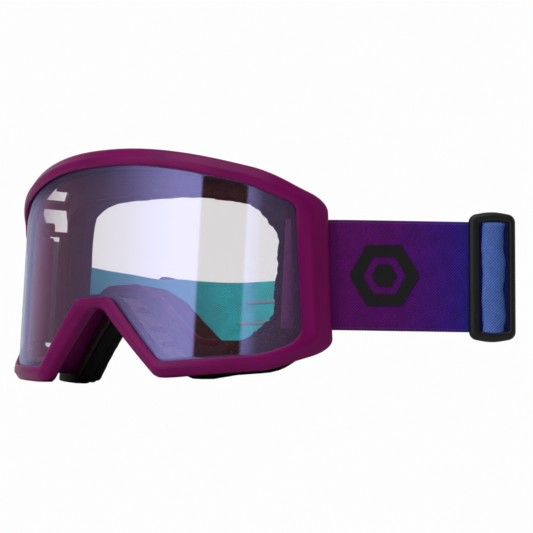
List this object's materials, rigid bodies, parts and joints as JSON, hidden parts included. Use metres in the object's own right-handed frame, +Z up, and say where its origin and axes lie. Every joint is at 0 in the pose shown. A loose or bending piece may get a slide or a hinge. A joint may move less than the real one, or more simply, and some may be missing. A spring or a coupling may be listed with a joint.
{
  "type": "ski goggles",
  "caption": "Ski goggles: curved mirrored double lens in a translucent vented frame, layered face foam and a wide elastic strap with a length slider on each side.",
  "frame": {"origin": "middle of the bounding box at the level that the goggles stand on", "axes": "+X across the width, towards the side whose strap is folded back; +Y from the lens towards the wearer; +Z up"},
  "size_m": [0.2254, 0.1628, 0.0932],
  "materials": {
    "frame_plastic": "satin translucent moulding",
    "outer_lens": "clear with a blue-violet mirror coating",
    "inner_lens": "clear, uncoated",
    "lens_gasket": "matte soft foam seal",
    "face_foam": "black open-cell foam",
    "face_fleece": "black brushed fleece",
    "nose_pad": "grained soft sheet",
    "vent_foam": "brown-black open-cell foam",
    "post": "moulded pin",
    "strap": "twill elastic webbing, magenta to blue outside, teal inside",
    "grip": "pale translucent silicone lines",
    "badge": "matte black raised print",
    "slider": "satin black moulding"
  },
  "bodies": {
    "frame": {"outer_frame": "frame_plastic", "inner_frame": "frame_plastic", "lens_outer": "outer_lens", "lens_inner": "inner_lens", "lens_gasket": "lens_gasket", "foam_base": "face_foam", "foam_middle": "face_foam", "foam_fleece": "face_fleece", "nose_pad_left": "nose_pad", "nose_pad_right": "nose_pad", "vent_foam_top": "vent_foam", "vent_foam_left": "vent_foam", "vent_foam_right": "vent_foam", "strap_post_left": "post", "strap_post_right": "post", "strap_end_left": "strap", "strap_end_right": "strap", "strap_root_left": "strap", "strap_root_right": "strap"},
    "strap": {"strap_front_right": "strap", "strap_return_right": "strap", "strap_back": "strap", "strap_front_left": "strap", "grip_strips": "grip", "strap_badge": "badge"},
    "right_slider": {"slider_right": "slider", "slider_loop_right": "strap"},
    "left_slider": {"slider_left": "slider", "slider_loop_left": "strap"}
  },
  "joints": [
    {"name": "strap_tilt", "type": "hinge", "parent": "frame", "child": "strap", "pos_m": [-0.02242, -0.03983, 0.0406], "axis": [1, 0, 0], "range_deg": [-8, 10], "deforming": ["strap_root_left", "strap_root_right"]},
    {"name": "right_slider_slide", "type": "slide", "parent": "strap", "child": "right_slider", "axis": [0.6947, 0.7193, 0], "range_m": [-0.035, 0]},
    {"name": "left_slider_slide", "type": "slide", "parent": "strap", "child": "left_slider", "axis": [0.0371, 0.9868, -0.1579], "range_m": [-0.026, 0]}
  ]
}
